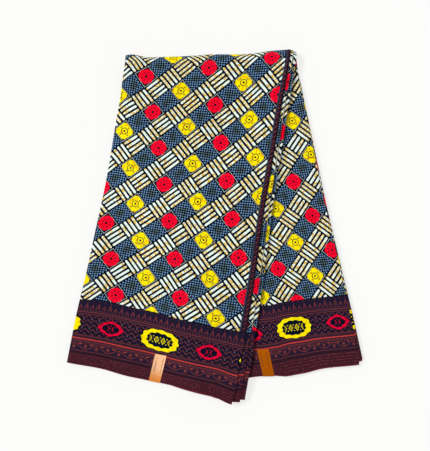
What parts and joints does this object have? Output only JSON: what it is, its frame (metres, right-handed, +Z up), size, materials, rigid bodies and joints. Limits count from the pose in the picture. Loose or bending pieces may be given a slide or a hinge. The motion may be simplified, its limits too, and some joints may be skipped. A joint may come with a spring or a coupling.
{
  "type": "folded fabric length",
  "caption": "Printed cotton cloth pleated to a narrow panel and halved over a skewed fold, lying flat with its bordered selvedge ends fanned apart.",
  "frame": {"origin": "middle of the outline seen from above, on the table that the cloth lies on", "axes": "+Z up from the table, +Y towards the fold, +X to the side that the back half leans to"},
  "size_m": [0.5096, 0.6129, 0.0257],
  "materials": {
    "cloth": "calendered printed cotton, low sheen",
    "foil": "gold foil sticker"
  },
  "bodies": {
    "root": {"outer_sheet": "cloth", "side_pleat_a": "cloth", "side_pleat_b": "cloth", "hidden_plies": "cloth", "inner_sheet": "cloth", "label_front": "foil", "label_back": "foil"}
  },
  "joints": []
}
